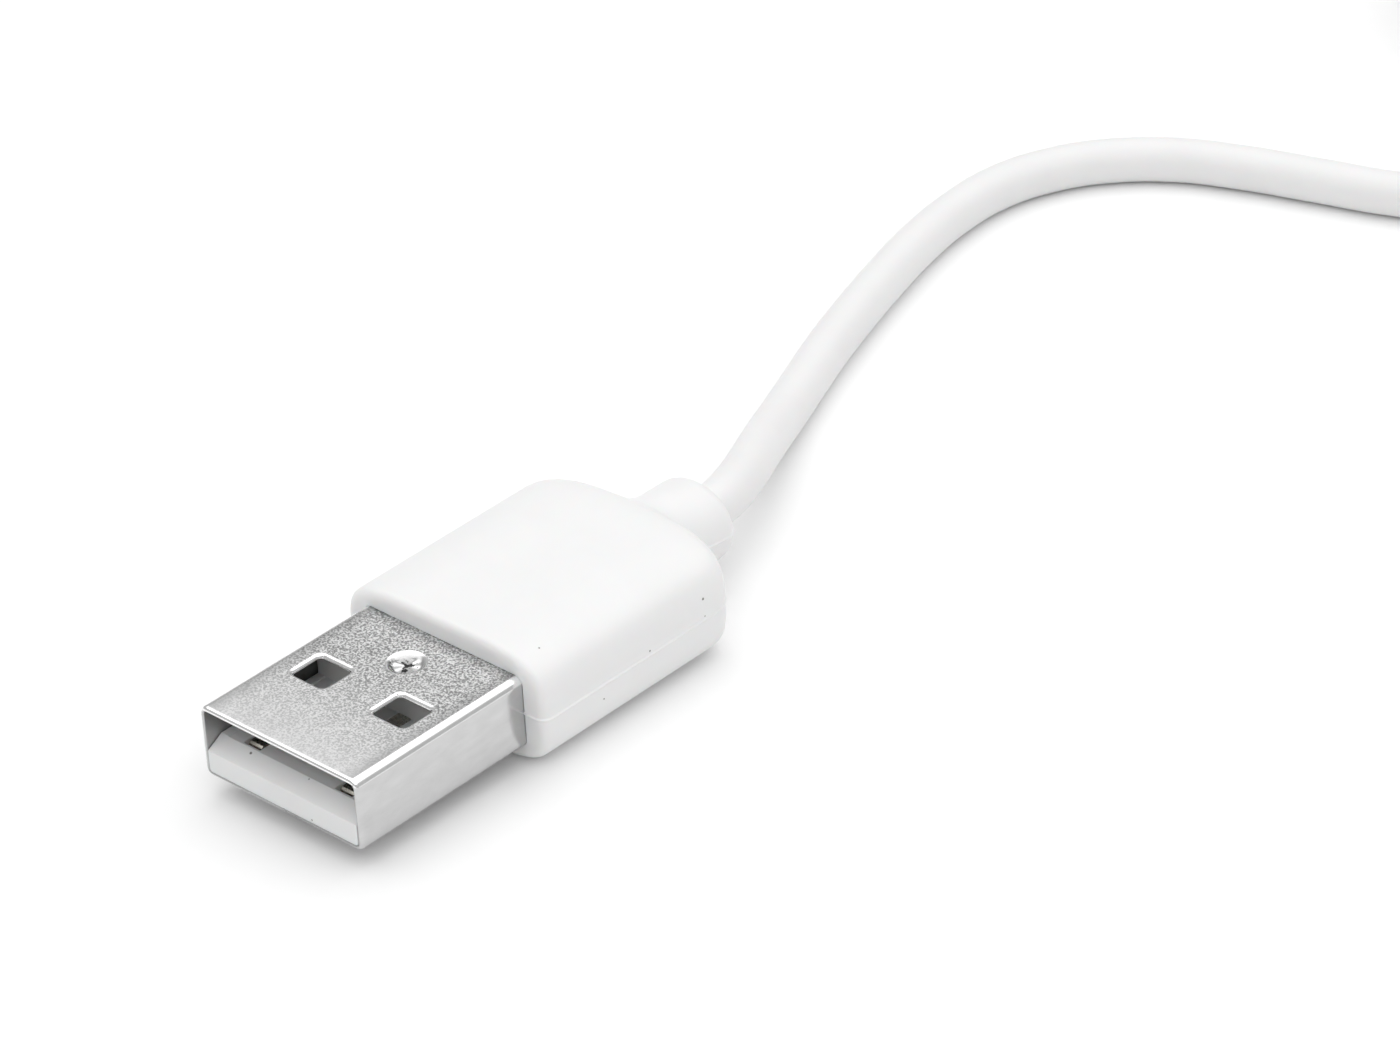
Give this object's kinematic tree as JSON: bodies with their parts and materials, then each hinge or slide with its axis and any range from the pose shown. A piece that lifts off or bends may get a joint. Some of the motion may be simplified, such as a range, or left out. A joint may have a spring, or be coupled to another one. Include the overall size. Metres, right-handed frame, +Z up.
{
  "type": "usb-a plug",
  "caption": "Moulded USB-A plug with a folded metal shell, a tongue with contacts and a strain collar, on a folded round cable that ends in a small oval plug.",
  "frame": {"origin": "under the middle of the USB-A plug, on the surface that its overmould rests on", "axes": "+X across the plug, +Y along the plug from the mouth to the cable, +Z up"},
  "size_m": [0.0291, 0.1546, 0.0143],
  "materials": {
    "shell_steel": "fine grained satin, polished bends",
    "tinned_steel": "matt tinned",
    "solder": "bright, slightly wrinkled",
    "tinned_braid": "woven tinned copper",
    "copper": "bare stranded copper",
    "contact_gold": "gold plated",
    "white_insulator": "matt moulded",
    "black_insulator": "matt moulded",
    "white_overmould": "soft satin moulded",
    "white_jacket": "soft satin",
    "red_insulation": "smooth",
    "white_insulation": "smooth",
    "green_insulation": "smooth",
    "black_insulation": "smooth",
    "circuit_board": "solder mask",
    "tie_strap": "fine brushed loops"
  },
  "bodies": {
    "root": {"shell": "shell_steel", "insulator": "white_insulator", "contact_power": "contact_gold", "contact_data_minus": "contact_gold", "contact_data_plus": "contact_gold", "contact_ground": "contact_gold", "solder_joints": "solder", "rear_cover_lower": "tinned_steel", "rear_cover_upper": "tinned_steel", "core_red": "copper", "core_white": "copper", "core_green": "copper", "core_black": "copper", "wire_red": "red_insulation", "wire_white": "white_insulation", "wire_green": "green_insulation", "wire_black": "black_insulation", "jacket_end": "white_jacket", "folded_braid": "tinned_braid", "overmould": "white_overmould", "cable_lead": "white_jacket", "cable_hank": "white_jacket", "hank_tie": "tie_strap", "cable_tail": "white_jacket", "far_shell": "shell_steel", "far_insulator": "black_insulator", "far_contacts_upper": "contact_gold", "far_contacts_lower": "contact_gold", "far_board": "circuit_board", "far_overmould": "white_overmould"}
  },
  "joints": []
}
